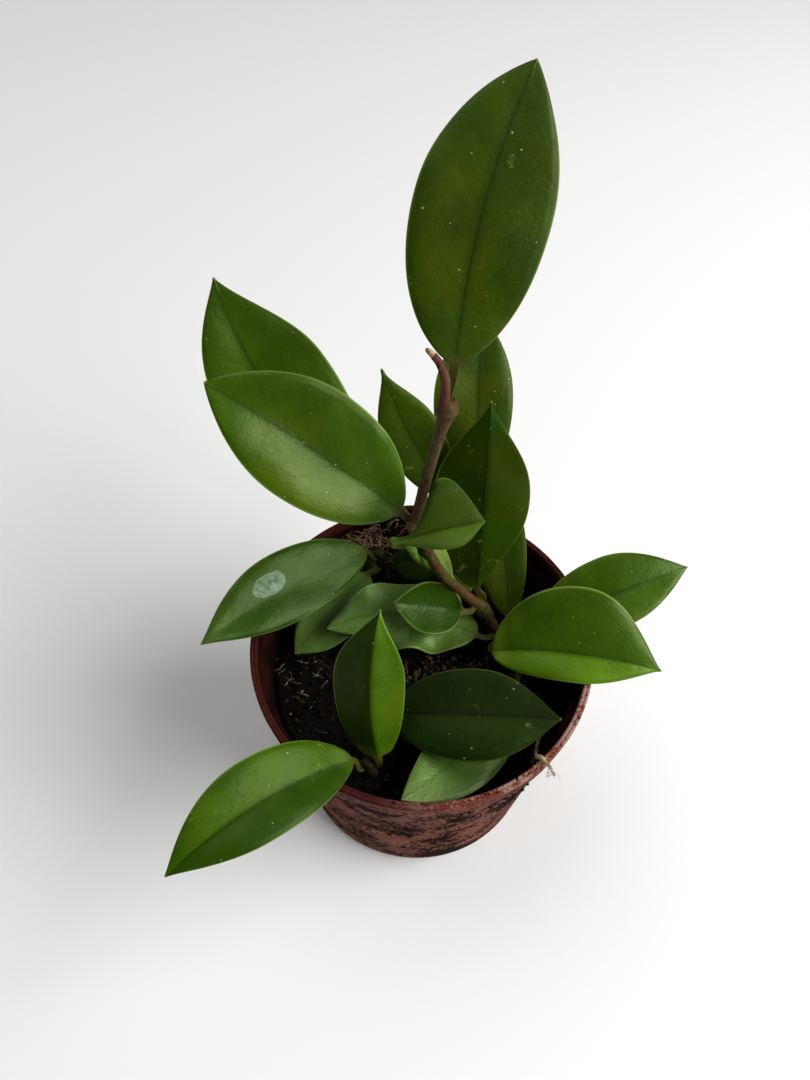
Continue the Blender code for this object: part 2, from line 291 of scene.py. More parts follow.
def side_veins(g, where, along, side):
    """Mask of the side veins, which leave the midrib forwards, about seven a side."""
    wobble = g.times(g.minus(g.noise(where, 70, 3), .5), 1.1)
    run = g.plus(g.minus(g.times(along, 7.0), g.times(side, 1.5)), wobble)
    wave = g.math("PINGPONG", run, .5)
    return g.times(g.step(wave, .36, .5), g.step(side, .9, .4))


def scar_over(g, green, where, along, across):
    """A bluish glaze with swirls and a pale ring round it, over the green."""
    scar = group_mask(g, SCAR, Vector=where, Along=along, Across=across)
    streaks = g.noise(g.add("Mapping", Vector=where, Scale=(1, 2.2, 1)), 300, 4, .6)
    glaze = g.mix(g.step(streaks, .36, .68), (70, 100, 66), (160, 180, 168))
    green = g.mix(g.times(scar, .55), green, glaze)
    ring = g.times(g.times(scar, g.minus(1.0, scar)), 1.4)
    return g.mix(ring, green, (150, 172, 140))


def leaf_top_material(name, tone, scarred=False):
    """Waxy upper side: mottled green, faint veins, one half in painted shade, pale specks, light
    rim, dry tip.
    """
    mat, g, shader, where = new_material(f"leaf_{name}")
    along, across, side = blade_attributes(g)
    cloud = g.noise(where, 55, 3, .5)
    fine = g.noise(where, 420, 3, .6)
    green = g.mix(g.step(cloud, .25, .8), tone.dark, tone.light)
    green = g.mix(g.times(g.step(fine, .45, .75), .18), green, tone.light)
    elsewhere = g.add("Mapping", Vector=where, Location=(3, 1, 2))
    sallow = g.step(g.noise(elsewhere, 48, 2, .5), .48, .72)
    green = g.mix(g.times(sallow, .5), green, tone.sallow)

    vein = side_veins(g, where, along, side)
    rib = g.plus(g.times(g.step(side, .16, .0), .45), g.times(g.step(side, .03, .01), .4),
                 clamp=True)
    # Painted shade: the half of the blade on the negative across side is darkened towards the vein
    # green by the tone's shade.
    half = g.times(g.step(across, .05, -.05), g.step(along, .0, .1))
    for mask in (g.times(vein, .09), rib, g.times(half, tone.shade)):
        green = g.mix(mask, green, tone.vein)
    speck = group_mask(g, FLECKS, Vector=where, Scale=430.0, Size=.10, Share=.17)
    green = g.mix(g.times(speck, .6), green, (172, 190, 130))
    blotch = group_mask(g, PATCHES, Vector=where, Scale=170.0, Level=.72, Edge=.05, Grain=.3)
    green = g.mix(g.times(blotch, .4), green, (136, 142, 80))
    if scarred:
        green = scar_over(g, green, where, along, across)

    rim = g.times(g.step(side, .955, 1.0), g.step(along, -.02, .05))
    green = g.mix(g.times(rim, .75), green, tone.edge)
    stalk = g.step(along, .05, -.02)
    green = g.mix(stalk, green, g.mix(cloud, (66, 74, 16), (62, 44, 18)))
    dry = g.step(along, .988, .998)
    green = g.mix(g.times(dry, .8), green, (136, 122, 66))

    rough = g.plus(g.times(g.minus(fine, .5), .16), tone.gloss)
    rough = g.plus(rough, g.times(g.plus(stalk, dry, clamp=True), .3))
    shader.inputs["Specular IOR Level"].default_value = tone.sheen
    shader.inputs["Specular Tint"].default_value = (.8, 1, .5, 1)
    shader.inputs["Subsurface Weight"].default_value = .06
    shader.inputs["Subsurface Radius"].default_value = (.4, 1.0, .15)
    shader.inputs["Subsurface Scale"].default_value = .0012

    pucker = g.noise(where, 150, 3, .5)
    grain = g.noise(g.add("Mapping", Vector=where, Scale=(1, 1.6, 1)), 950, 2, .5)
    relief = g.plus(g.times(pucker, .5), g.times(fine, .16))
    relief = g.plus(relief, g.times(grain, .16))
    relief = g.minus(relief, g.times(vein, .04))
    relief = g.times(relief, g.step(side, 1.0, .85))
    finish_material(g, shader, green, rough, relief, .6, .0008)
    return mat


def leaf_under_material(name, tone):
    """Duller, paler underside with a raised midrib."""
    mat, g, shader, where = new_material(f"leaf_{name}_under")
    along, _, side = blade_attributes(g)
    cloud = g.noise(where, 70, 3, .5)
    pale = tuple(min(255, c * 1.1 + 8) for c in tone.light)
    green = g.mix(g.step(cloud, .35, .7), tone.light, pale)
    green = g.mix(g.times(g.step(side, .07, .02), .6), green, tone.edge)
    green = g.mix(g.times(g.step(side, .93, 1.0), .6), green, tone.edge)
    green = g.mix(g.step(along, .05, -.02), green, (64, 62, 18))
    green = g.mix(g.step(along, .975, .995), green, (150, 118, 70))
    rough = g.plus(g.times(cloud, .1), .48)
    finish_material(g, shader, green, rough, g.noise(where, 500, 3, .6), .15, .0004)
    return mat


def bark_material(name, base, dark, green, relief=.5):
    """Young bark: streaks, greener clouds and small pale corky dots."""
    mat, g, shader, where = new_material(name)
    streak = g.noise(g.add("Mapping", Vector=where, Scale=(1, 1, .25)), 900, 4, .6)
    cloud = g.noise(where, 90, 3, .5)
    color = g.mix(g.step(cloud, .35, .65), base, green)
    color = g.mix(g.step(streak, .45, .7), color, dark)
    dots = group_mask(g, FLECKS, Vector=where, Scale=1100.0, Size=.25, Share=.2)
    color = g.mix(g.times(dots, relief * .6), color, (150, 132, 96))
    shader.inputs["Specular IOR Level"].default_value = .2
    rough = g.plus(g.times(streak, .2), .55)
    grain = g.plus(streak, g.times(dots, .5))
    finish_material(g, shader, color, rough, grain, relief, .0004)
    return mat


def pot_zones(g, where):
    """Masks from the pot's shape: outside, lip, worn edge, front right (where the lip is painted
    lit), low, caked height.
    """
    axes = g.tree.nodes.new("ShaderNodeSeparateXYZ")
    g.plug(axes.inputs[0], where)
    x, y, z = axes.outputs
    radius = g.math("SQRT", g.plus(g.times(x, x), g.times(y, y)))
    wall = g.plus(g.times(z, (TOP_WALL_R - FOOT_R) / (POT_H - COLLAR_H)), (FOOT_R - WALL / 2) * MM)
    collar = g.step(z, (POT_H - COLLAR_H + .8) * MM, (POT_H - COLLAR_H + 1.2) * MM)
    wall = g.plus(wall, g.times(collar, 1.8 * MM))
    outside = g.math("GREATER_THAN", radius, wall)

    def depth(start, end):
        """0 at the first depth under the pot's top and 1 at the second."""
        return g.step(z, (POT_H - start) * MM, (POT_H - end) * MM)

    worn = g.times(g.times(depth(5.2, 4.2), depth(2.6, 3.4)), outside)
    front = g.step(g.minus(g.times(x, .8), g.times(y, .6)), .02, .055)
    return outside, depth(3.4, 2.4), worn, front, depth(9, 22), depth(2, 13)


def pot_outside(g, where, fine, cloud, caked):
    """Dusty plastic under a thin film and thick patches of dried mud, with its masks."""
    plastic = g.mix(cloud, (114, 60, 47), (90, 46, 36))
    dust = group_mask(g, PATCHES, Vector=where, Scale=34.0, Level=.42, Edge=.07, Grain=.25)
    dusty = g.mix(g.step(fine, .3, .7), (168, 116, 100), (122, 72, 58))
    color = g.mix(g.times(dust, .9), plastic, dusty)
    flat = g.add("Mapping", Vector=where, Scale=(1, 1, 1.5))
    mud = group_mask(g, PATCHES, Vector=flat, Scale=58.0, Level=.505, Edge=.012, Grain=.75)
    mud = g.times(mud, caked)
    film = group_mask(g, PATCHES, Vector=flat, Scale=50.0, Level=.44, Edge=.08, Grain=.9)
    color = g.mix(g.times(film, .45), color, (62, 33, 25))
    color = g.mix(mud, color, g.mix(fine, (12, 5, 2), (40, 19, 11)))
    scuff = group_mask(g, FLECKS, Vector=where, Scale=520.0, Size=.22, Share=.10)
    return g.mix(g.times(scuff, .5), color, (34, 20, 15)), dust, mud


def pot_material():
    """Brick-coloured plastic under dried mud: dusty outside, clean inside wall painted dark as
    shade, lip painted lighter at the front right.
    """
    mat, g, shader, where = new_material("pot_plastic")
    outside, lip, worn, front, low, caked = pot_zones(g, where)
    fine = g.noise(where, 700, 4, .65)
    cloud = g.noise(where, 60, 4, .6)
    outer, dust, mud = pot_outside(g, where, fine, cloud, caked)
    # Painted shade: the inside wall is painted dark, and darker still low down inside the pot.
    inner_shade = g.mix(g.step(cloud, .4, .65), (40, 16, 12), (20, 9, 7))
    inner = g.mix(low, inner_shade, (13, 8, 6))
    body = g.mix(outside, inner, outer)

    # Painted light: the lip's dark maroon is painted lighter at the front right, where the window
    # light falls. The pale crust mixed in there is real.
    lip_brick_and_light = g.mix(g.step(fine, .4, .75), (66, 29, 24), (48, 22, 18))
    lip_brick_and_light = g.mix(g.times(front, .6), lip_brick_and_light, (128, 62, 50))
    crust = group_mask(g, PATCHES, Vector=where, Scale=110.0, Level=.48, Edge=.05, Grain=.9)
    lip_brick_and_light = g.mix(g.times(g.times(crust, front), .6), lip_brick_and_light, (164, 138, 122))
    body = g.mix(lip, body, lip_brick_and_light)
    worn = g.times(worn, g.step(fine, .3, .6))
    body = g.mix(g.times(worn, .7), body, (158, 104, 88))
    crumbs = group_mask(g, FLECKS, Vector=where, Scale=300.0, Size=.16, Share=.07)
    body = g.mix(g.times(crumbs, lip), body, (40, 28, 20))

    shader.inputs["Specular IOR Level"].default_value = .02
    muddy = g.times(g.plus(dust, mud, clamp=True), outside)
    rough = g.plus(g.times(muddy, .43), .42)
    relief = g.plus(g.times(fine, .25), g.times(mud, .6))
    finish_material(g, shader, body, rough, relief, .5, .0008)
    return mat


def soil_material(name="peat", light=1.0):
    """Black peat with browner clouds and a few straw-coloured bits; light brightens it all."""
    mat, g, shader, where = new_material(name)
    fine = g.noise(where, 900, 5, .7)
    cloud = g.noise(where, 120, 4, .6)
    color = g.mix(g.step(fine, .35, .7), (6 * light, 5 * light, 4 * light),
                  (22 * light, 17 * light, 12 * light))
    color = g.mix(g.times(g.step(cloud, .55, .75), .5), color,
                  (40 * light, 30 * light, 20 * light))
    bits = group_mask(g, FLECKS, Vector=where, Scale=500.0, Size=.25, Share=.06)
    color = g.mix(g.times(bits, .6), color, (104, 82, 58))
    shader.inputs["Specular IOR Level"].default_value = .08
    finish_material(g, shader, color, g.plus(g.times(fine, .2), .75), fine, 1.0, .0012)
    return mat


def fibre_material(name, pale, dark):
    """Dry plant fibre, pale in places and dark in others, finely streaked."""
    mat, g, shader, where = new_material(name)
    tint = g.noise(where, 260, 3, .6)
    streak = g.noise(where, 1500, 3, .6)
    color = g.mix(g.step(tint, .4, .62), dark, pale)
    color = g.mix(g.times(g.step(streak, .5, .7), .4), color, (70, 52, 34))
    finish_material(g, shader, color, .8, streak, .5, .0004)
    return mat


# -------------------- modelling helpers

def unit(v):
    v = np.asarray(v, float)
    return v / np.linalg.norm(v)


def deselect_all():
    bpy.ops.object.select_all(action="DESELECT")


def select_only(ob):
    """Leaves edit mode and selects one object alone."""
    if bpy.context.object and bpy.context.object.mode != "OBJECT":
        bpy.ops.object.mode_set(mode="OBJECT")
    deselect_all()
    ob.select_set(True)
    bpy.context.view_layer.objects.active = ob


def apply_all(ob):
    """Applies the modifiers in their order."""
    select_only(ob)
    for mod in list(ob.modifiers):
        bpy.ops.object.modifier_apply(modifier=mod.name)


def piece(ob, *nodes, slot):
    """Hands a finished piece to the frame."""
    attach(ob, "root")
    if nodes:
        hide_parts(*nodes)


def spline(points, steps):
    """A smooth curve through points: `steps` pieces between each pair."""
    p = np.asarray(points, float)
    p = np.vstack([2 * p[0] - p[1], p, 2 * p[-1] - p[-2]])
    out = []
    for i in range(1, len(p) - 2):
        for u in np.arange(steps) / steps:
            out.append(.5 * (2 * p[i] + (p[i + 1] - p[i - 1]) * u
                             + (2 * p[i - 1] - 5 * p[i] + 4 * p[i + 1] - p[i + 2]) * u ** 2
                             + (3 * p[i] - p[i - 1] - 3 * p[i + 1] + p[i + 2]) * u ** 3))
    out.append(p[-2])
    return np.array(out)


def turned(name, profile, sides):
    """A ring is extruded and resized from point to point of an (r, z) profile."""
    first_r, first_z = profile[0]
    deselect_all()
    bpy.ops.mesh.primitive_circle_add(vertices=sides, radius=first_r * MM, fill_type="NGON",
                                      location=(0, 0, first_z * MM))
    ob = bpy.context.object
    ob.name = name
    bpy.ops.object.transform_apply(location=True, rotation=True, scale=True)
    bpy.ops.object.mode_set(mode="EDIT")
    bpy.ops.mesh.select_all(action="SELECT")
    bpy.ops.mesh.delete(type="ONLY_FACE")
    bpy.ops.mesh.select_all(action="SELECT")
    for (r0, z0), (r1, z1) in zip(profile, profile[1:]):
        bpy.ops.mesh.extrude_edges_move(TRANSFORM_OT_translate={"value": (0, 0, (z1 - z0) * MM)})
        bpy.ops.transform.resize(value=(r1 / r0, r1 / r0, 1), center_override=(0, 0, z1 * MM))
    bpy.ops.mesh.select_all(action="DESELECT")
    bpy.ops.mesh.select_non_manifold()
    bpy.ops.mesh.fill_holes(sides=0)
    bpy.ops.mesh.select_all(action="SELECT")
    bpy.ops.mesh.normals_make_consistent(inside=False)
    bpy.ops.object.mode_set(mode="OBJECT")
    return ob


WELD = .000005           # metres


def tube(name, path, sides):
    """A closed tube along (x, y, z, radius) points in millimetres, made a mesh."""
    curve = bpy.data.curves.new(name, "CURVE")
    curve.dimensions = "3D"
    curve.bevel_depth = MM
    curve.bevel_resolution = max(0, sides // 4 - 1)
    curve.use_fill_caps = True
    line = curve.splines.new("POLY")
    line.points.add(len(path) - 1)
    for point, (x, y, z, radius) in zip(line.points, path):
        point.co = (x * MM, y * MM, z * MM, 1)
        point.radius = radius
    ob = bpy.data.objects.new(name, curve)
    bpy.context.scene.collection.objects.link(ob)
    select_only(ob)
    bpy.ops.object.convert(target="MESH")
    ob = bpy.context.object
    bpy.ops.object.mode_set(mode="EDIT")
    bpy.ops.mesh.select_all(action="SELECT")
    bpy.ops.mesh.remove_doubles(threshold=WELD)
    bpy.ops.object.mode_set(mode="OBJECT")
    bpy.ops.object.shade_smooth()
    return ob


def join(name, parts):
    """Several meshes as one object."""
    deselect_all()
    for part in parts:
        part.select_set(True)
    bpy.context.view_layer.objects.active = parts[0]
    bpy.ops.object.join()
    ob = bpy.context.object
    ob.name = name
    return ob


def set_material(ob, *mats):
    ob.data.materials.clear()
    for mat in mats:
        ob.data.materials.append(mat)


# -------------------- sizes, as in the CAD

POT_H = 96.0
RIM_R = 60.0
LIP_H = 2.6
COLLAR_H = 12.0
COLLAR_R = 59.0
WALL = 1.5
TOP_WALL_R = 56.4
FOOT_R = 48.0
FOOT_PAD_R = 15.0
CHANNEL_R = 40.0
CHANNEL_H = 3.0
DRAIN_R = 4.0
DRAIN_RING_R = 28.0
DRAIN_COUNT = 6
NOTCH_SIZE = (2.6, 5.0, 3.0)
NOTCH_DEPTH = 1.1
NOTCH_ANGLE = 215.0
NOTCH_Z = 89.5
SOIL_Z = 73.0
SOIL_GAP = .4            # between the soil and the pot's floor

STEMS = {
    "main_stem": [
        (34, 10, 66, 2.2), (31, 12, 76, 2.3), (26, 15, 83, 2.3), (22, 18, 89, 3.0),
        (17, 18.5, 95, 2.0), (6, 18, 112, 1.9), (-.5, 15.2, 134, 1.9), (-4, 13, 147, 2.5),
        (-3, 12.4, 153, 1.8), (-1, 11, 172, 1.7), (2, 9, 194, 1.7), (3.3, 8, 203, 2.6),
        (3.8, 7.8, 206.5, 2.6)],
    "side_shoot": [
        (18, 24, 91, 1.2), (12, 27, 95, 1.3), (3, 24.5, 105, 1.3), (-3, 15.8, 125, 1.3),
        (-4, 8.5, 139, 1.3), (-5, 2, 150, 1.3), (-6, -1, 157, 1.2)],
    "front_stem": [
        (-15, -38, 64, 1.8), (-16, -40, 74, 1.9), (-17, -41, 82, 2.4), (-17, -41, 87, 2.2)],
    "back_left_stem": [
        (-12, 40, 64, 1.7), (-14, 40.5, 75, 1.8), (-16, 41, 86, 2.2), (-16.5, 41, 91, 2.0)],
    "back_stem": [
        (14, 35, 64, 1.8), (14, 37, 80, 1.9), (13, 41, 100, 1.8), (14, 42, 114, 2.2),
        (14, 42, 118, 2.0)],
    "right_stem": [
        (37, 6, 64, 1.7), (38, 5, 74, 1.8), (38, 3, 83, 2.2), (38, 2.4, 88, 2.0)],
}
# The tip of the stem goes on past its last pair of leaves as a thin withered shoot.
SHOOT_TIP = [(2.2, 7.5, 203.5, 1.5), (2.4, 7.9, 207, 1.45), (2.7, 8.8, 211, 1.3),
             (2.2, 9.8, 214.6, 1.15), (.8, 10.8, 217.6, 1.0), (-.8, 11.5, 219.6, .95),
             (-2.0, 11.9, 220.6, .8), (-2.7, 12.1, 221, .3)]
DRY_ROOT = [(43, -25, 75.6, .5), (41, -30, 78, .6), (39, -36, 86, .7), (38, -40.5, 93, .8),
            (39, -43, 97.6, .7), (41, -45.4, 97.8, .6), (43.2, -47.4, 94.5, .4)]

# A leaf leaves its stem at height `leave`; `base` and `tip` end the blade's midrib.
# left and right are the half widths seen from the base with `face` towards the viewer;
# the folds lift each half (degrees), bow arches the midrib along the face, sweep bends
# it to the right, peak above 1 moves the widest place to the tip, taper sharpens the tip;
# roll curls the edges down and wave ripples them (mm); hollow above 1 draws in the
# lower part of the left or right margin.
Leaf = namedtuple("Leaf", "stem leave base tip left right face fold_l fold_r bow sweep peak taper"
                          " tone roll wave hollow", defaults=[(1, 1)])
LEAVES = {
    "leaf_top": Leaf("main_stem", 203.5, (5, 14, 215), (22, 63, 266), 17.5, 17,
                     (-.1, -.8, .6), 4, 4, 2, -3, 1, 0, "old", 1, .2),
    "leaf_upper_left": Leaf("main_stem", 149, (-9, 14, 153), (-64, 27, 193), 17.5, 19,
                            (.1, -.65, .76), 14, 14, 3, 1, 1, 0, "mature", 1.5, .2),
    "leaf_upper_back_left": Leaf("main_stem", 147, (-18, 30, 149), (-65, 62, 201), 16, 20,
                                 (.2, -.8, .6), 8, 8, 2, -8, 1.1, .3, "mature", 1, .3),
    "leaf_shoot_small": Leaf("side_shoot", 155, (-10.5, -3, 160), (16, 0, 167), 15, 6.5,
                             (0, -.5, .85), 0, -35, 2, 0, 1.6, .4, "young", 2.2, .2, (4, 1)),
    "leaf_centre_fold": Leaf("main_stem", 90, (20, 22, 96), (21, 58, 156), 18, 16.5,
                             (-.1, -.85, .5), -6, -14, 2, 0, 1, .6, "creased_shaded", 0, .6, (1, 2)),
    "leaf_centre_right": Leaf("main_stem", 78, (33, 17, 85), (26, 52, 128), 11, 8,
                              (0, -.85, .5), 10, 10, -2, 0, 1, .3, "old", 1, .2),
    "leaf_back_centre": Leaf("back_stem", 113, (9, 46, 120), (-16, 69, 159), 10, 11,
                             (0, -.8, .6), 8, 8, 2, -2, 1, .9, "old", 1, .2),
    "leaf_back_right": Leaf("back_stem", 115, (18, 48, 124), (18, 92, 164), 16, 12,
                            (0, -.8, .6), 8, 8, 2, 0, 1, 0, "old", 1, .5),
    "leaf_node_small": Leaf("main_stem", 92, (14, 13, 94.5), (-10, 12, 100.5), 10, 10,
                            (0, -.5, .85), 22, 22, -1, 0, 1, 0, "deep", -1.2, .2, (.7, .7)),
    "leaf_new_pale": Leaf("main_stem", 95, (10.5, 22, 102), (0, 26, 128), 2.5, 2.5,
                          (.5, -.75, .4), 8, 8, 1, 0, 1.3, 0, "pale", .2, .2),
    "leaf_right_fold": Leaf("main_stem", 79, (26, 0, 90), (81.8, -10.8, 98), 24, 10.5,
                            (-.1, -.5, .85), 12, 26, 5, -2, 1, .4, "bright", 1.5, .2, (1, .7)),
    "leaf_right_back": Leaf("right_stem", 85, (42, 9, 93), (92, 22, 113), 14, 12,
                            (-.1, -.4, .9), 10, 10, 5, 0, 1, .2, "mature", 1, .2),
    "leaf_mid_wavy": Leaf("main_stem", 80, (20, 9, 84), (-34, 7, 90), 14, 13,
                          (0, -.15, 1), 0, 0, 1, 7, .9, 0, "dull", .2, 3.4),
    "leaf_front_upright": Leaf("front_stem", 85, (-14, -41, 91), (-14, -8, 130), 15, 12.5,
                               (0, -.8, .6), -36, -24, 3, -3, 1, .5, "folded", -1.0, .1, (.6, .6)),
    "leaf_soil_left": Leaf("back_left_stem", 82, (-21, 35, 83), (-46, 2, 80), 12, 10,
                           (0, -.1, 1), 6, 6, 1, 0, 1, 0, "dull", 1, .6),
    "leaf_soil_back": Leaf("back_left_stem", 78, (-20, 43, 77.5), (-37, 33, 78.5), 4, 5,
                           (0, -.1, 1), 4, 4, 0, 0, 1, 0, "shaded", .2, .2),
    "leaf_left": Leaf("back_left_stem", 88, (-22, 38, 94), (-75, -8, 104), 12, 14,
                      (.1, -.5, .85), 12, 12, 3, 2, 1, .3, "scarred", 1.5, .2),
    "leaf_front_right": Leaf("front_stem", 80, (-10, -24, 88), (46, -30, 99), 15.5, 15.5,
                             (0, -.3, .95), 5, 5, 3, 0, 1, .2, "shaded", 1, .2),
    "leaf_front_rim": Leaf("right_stem", 79, (33, -10, 78), (-6, -54, 87), 13, 11,
                           (0, -.3, .95), 3, 3, 0, -3, 1, 0, "dull", .5, .3),
    "leaf_front_left": Leaf("front_stem", 83, (-23, -44, 94), (-74, -84, 104), 12.3, 14,
                            (.1, -.4, .9), 26, 8, 8, 4, 1, .2, "drooping", 1.5, .2),
    "leaf_back_dark": Leaf("back_left_stem", 85, (-11, 39, 88), (10, 31, 98), 7, 7,
                           (0, -.5, .85), 4, 4, 1, 0, 1, 0, "shaded", .3, .2),
}


# -------------------- leaves

MID_T = 1.25             # leaf thickness at the midrib
EDGE_T = .75
STALK_T = 2.2
STALK_HALF_W = 1.15
STALK_SINK = .4          # how far a stalk reaches into its stem's bark
TIP_HALF_W = .35
CREASE_SOFT = .12        # rounds the fold at the midrib (mm squared)
GROOVE_DEPTH = .30       # groove over the midrib
GROOVE_HALF_W = .55
WANDER = .9              # slow unevenness of the blade, and its scale
WANDER_SCALE = .07
RIPPLE = 15              # radians of ripple from base to tip
ACROSS = 16              # grid cells across and along a blade
ALONG = 44
STALK_ROWS = 6


def stem_at(stem, z):
    """Centre, radius and direction of a stem at a height."""
    path = spline(STEMS[stem], 24)
    k = int(np.clip(np.argmin(np.abs(path[:, 2] - z)), 1, len(path) - 2))
    return path[k, :3], path[k, 3], unit(path[k + 1, :3] - path[k - 1, :3])


def hermite(a, b, da, db, u):
    """The point at u of the curve from a to b that leaves along da and arrives along db."""
    return ((2 * u ** 3 - 3 * u ** 2 + 1) * a + (u ** 3 - 2 * u ** 2 + u) * da
            + (3 * u ** 2 - 2 * u ** 3) * b + (u ** 3 - u ** 2) * db)


def blade_width(s, leaf, hollow):
    """Share of the half width at s, from 0 at the blade's base to 1 at its tip."""
    s = s ** leaf.peak
    round_base = (1 - (1 - min(s / .5, 1)) ** 2.2) ** (.62 * hollow)
    pointed_tip = (1 - max((s - .5) / .5, 0) ** 2.1) ** .95
    return (round_base * pointed_tip) ** (1 + leaf.taper * s)


def leaf_rows(leaf):
    """Rows along the leaf: midrib point, side, normal and blade position."""
    base, tip = np.array(leaf.base, float), np.array(leaf.tip, float)
    centre, radius, axis = stem_at(leaf.stem, leaf.leave)
    out = base - centre
    out = unit(out - axis * (out @ axis))
    start = centre + out * (radius - STALK_SINK)
    chord = tip - base
    face = unit(np.array(leaf.face) - unit(chord) * (np.array(leaf.face) @ unit(chord)))
    across = np.cross(unit(chord), face)
    arch = 4 * (face * leaf.bow + across * leaf.sweep)
    reach = np.linalg.norm(base - start)
    rows = []
    for k in range(STALK_ROWS):
        u = k / STALK_ROWS
        p = hermite(start, base, out * reach, unit(chord + arch) * reach, u)
        q = hermite(start, base, out * reach, unit(chord + arch) * reach, u + .01)
        rows.append((p, unit(q - p), -1 + u))
    for k in range(ALONG + 1):
        s = (1 - math.cos(math.pi * k / ALONG)) / 2
        rows.append((base + chord * s + arch * s * (1 - s), unit(chord + arch * (1 - 2 * s)), s))
    full = []
    for p, t, s in rows:
        normal = unit(face - t * (face @ t))
        full.append((p, np.cross(t, normal), normal, s))
    return full


def leaf_point(leaf, row, x, seed):
    """Where a point of the blade's middle surface lies; x runs from -1 to 1 across."""
    p, side, normal, s = row
    if s <= 0:
        half, angle = STALK_HALF_W, 0
    else:
        width = leaf.left if x < 0 else leaf.right
        half = max(width * blade_width(s, leaf, leaf.hollow[0 if x < 0 else 1]), TIP_HALF_W)
        half += max(0, 1 - s / .04) * (STALK_HALF_W - TIP_HALF_W)
        angle = math.radians(leaf.fold_l if x < 0 else leaf.fold_r)
    far = abs(x) * half
    crease = math.sqrt(far * far + CREASE_SOFT) - math.sqrt(CREASE_SOFT)
    lift = crease * math.sin(angle)
    if s > 0:
        body = min(1, s * 6) * min(1, (1 - s) * 6)
        lift -= leaf.roll * x ** 4 * body
        lift -= GROOVE_DEPTH * math.exp(-(far / GROOVE_HALF_W) ** 2) * body
        spot = Vector((p + side * x * half) * WANDER_SCALE)
        lift += WANDER * noise.noise(spot + Vector((seed, 0, 0))) * body
        lift += leaf.wave * x * x * math.sin(s * RIPPLE + seed + (2 if x > 0 else 0)) * body
    return p + side * math.copysign(far, x) * math.cos(angle) + normal * lift


def build_leaf(name, leaf, seed):
    """A grid laid along the midrib, thickened, with its edges rounded by subdivision."""
    rows = leaf_rows(leaf)
    deselect_all()
    bpy.ops.mesh.primitive_grid_add(x_subdivisions=ACROSS, y_subdivisions=len(rows) - 1, size=2)
    ob = bpy.context.object
    ob.name = f"{name}_blade"
    group = ob.vertex_groups.new(name="thickness")
    along, across = [], []
    for v in ob.data.vertices:
        row = rows[round((v.co.y + 1) / 2 * (len(rows) - 1))]
        x = math.sin(v.co.x * math.pi / 2)
        along.append(row[3])
        across.append(x)
        v.co = Vector(leaf_point(leaf, row, x, seed)) * MM
        if row[3] <= 0:
            thick = STALK_T
        else:
            blade = MID_T + (EDGE_T - MID_T) * abs(x) + .5 * math.exp(-(x / .09) ** 2)
            thick = blade + (STALK_T - blade) * max(0, 1 - row[3] / .08)
        group.add([v.index], thick / STALK_T, "REPLACE")
    for key, values in (("along", along), ("across", across)):
        ob.data.attributes.new(key, "FLOAT", "POINT").data.foreach_set("value", values)
    mod = ob.modifiers.new("thickness", "SOLIDIFY")
    mod.thickness = STALK_T * MM
    mod.offset = 0
    mod.vertex_group = group.name
    mod.material_offset = 1
    soft = ob.modifiers.new("soft edges", "SUBSURF")
    soft.levels = soft.render_levels = 1
    set_material(ob, *LEAF_MATERIALS[leaf.tone])
    apply_all(ob)
    bpy.ops.object.shade_smooth()
    piece(ob, name, slot="leaf")


# -------------------- stems and root

def stem_path(points, steps, wobble, seed):
    """The stem's route with small uneven swellings."""
    path = spline(points, steps)
    for k, p in enumerate(path):
        p[3] *= 1 + wobble * noise.noise(Vector((p[0], p[1], p[2] + seed)) * .35)
    return path


def knob(place, radius, squash, axis):
    """A bud or leaf scar: a small flattened ball on a stem."""
    deselect_all()
    bpy.ops.mesh.primitive_uv_sphere_add(segments=16, ring_count=10, radius=radius * MM)
    ob = bpy.context.object
    ob.scale = (1, 1, squash)
    ob.rotation_euler = Vector(axis).to_track_quat("Z", "Y").to_euler()
    ob.location = Vector(place) * MM
    bpy.ops.object.transform_apply(location=True, rotation=True, scale=True)
    bpy.ops.object.shade_smooth()
    return ob


RING_THICK = .45
# Rings (height, growth) and buds (height, direction in degrees, size) on the main stem.
MAIN_STEM_RINGS = ((88, -.3), (91.5, -.3), (146, -.3), (149.5, -.25), (204.6, -.15))
MAIN_STEM_BUDS = ((89.5, 200, 1.4), (147.5, 250, 1.2), (205, 205, .9))


def scar_ring(stem, z, grow):
    """A raised ring round a stem where leaves have joined it."""
    centre, radius, axis = stem_at(stem, z)
    deselect_all()
    bpy.ops.mesh.primitive_torus_add(major_segments=28, major_radius=(radius + grow) * MM,
                                     minor_segments=8, minor_radius=RING_THICK * MM)
    ob = bpy.context.object
    ob.rotation_euler = Vector(axis).to_track_quat("Z", "Y").to_euler()
    ob.location = Vector(centre) * MM
    bpy.ops.object.transform_apply(location=True, rotation=True, scale=True)
    bpy.ops.object.shade_smooth()
    return ob


def plain_tube(name, path, sides, mat, *nodes, slot):
    """A tube that is a finished piece by itself."""
    ob = tube(name, path, sides)
    set_material(ob, mat)
    piece(ob, *nodes, slot=slot)


